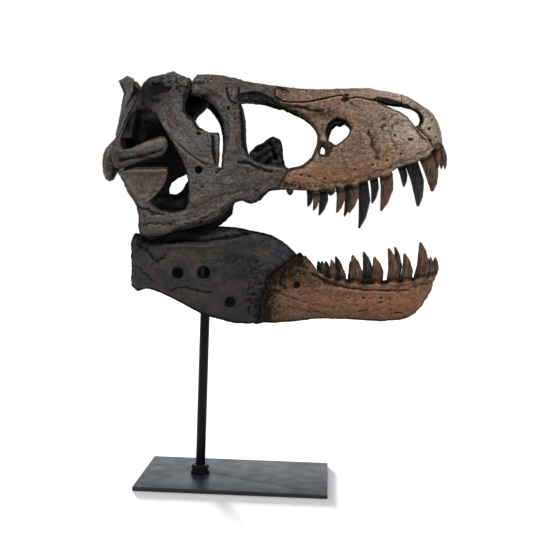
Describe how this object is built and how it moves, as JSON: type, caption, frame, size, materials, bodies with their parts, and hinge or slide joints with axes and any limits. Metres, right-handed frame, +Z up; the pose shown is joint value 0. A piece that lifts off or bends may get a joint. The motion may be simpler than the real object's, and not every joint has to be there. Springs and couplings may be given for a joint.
{
  "type": "mounted dinosaur skull replica",
  "caption": "Reduced display cast of a Tyrannosaurus rex skull with open jaws, held on a black steel rod that stands on a flat rectangular plate.",
  "frame": {"origin": "a point on the underside of the stand's plate, straight under the foot of the rod", "axes": "+X to the tip of the snout, +Y to the animal's left, +Z up"},
  "size_m": [0.3524, 0.1844, 0.421],
  "materials": {
    "snout_tip": "pale tan cast resin with a dark wash",
    "snout_bone": "tan brown cast resin with rust stains",
    "rear_bone": "dark grey brown cast resin, dry brushed lighter",
    "dark_bone": "near black brown cast resin, satin",
    "jaw_bone": "rust brown cast resin with a dark wash",
    "black_steel": "black satin powder coat",
    "dark_hardware": "black oxide"
  },
  "bodies": {
    "root": {"premaxilla_right": "snout_tip", "premaxilla_left": "snout_tip", "maxilla_right": "snout_bone", "maxilla_left": "snout_bone", "nasals": "snout_bone", "lacrimal_right": "rear_bone", "lacrimal_left": "rear_bone", "jugal_right": "rear_bone", "jugal_left": "rear_bone", "postorbital_right": "rear_bone", "postorbital_left": "rear_bone", "squamosal_right": "rear_bone", "squamosal_left": "rear_bone", "quadratojugal_right": "rear_bone", "quadratojugal_left": "rear_bone", "quadrate_right": "dark_bone", "quadrate_left": "dark_bone", "braincase": "rear_bone", "pterygoid_right": "dark_bone", "pterygoid_left": "dark_bone", "palatine_right": "dark_bone", "palatine_left": "dark_bone", "vomer": "dark_bone", "surangular_right": "dark_bone", "surangular_left": "dark_bone", "dentary_right": "jaw_bone", "dentary_left": "jaw_bone", "stand_base": "black_steel", "stand_rod": "black_steel", "stand_washer": "dark_hardware", "stand_nut": "dark_hardware"}
  },
  "joints": []
}
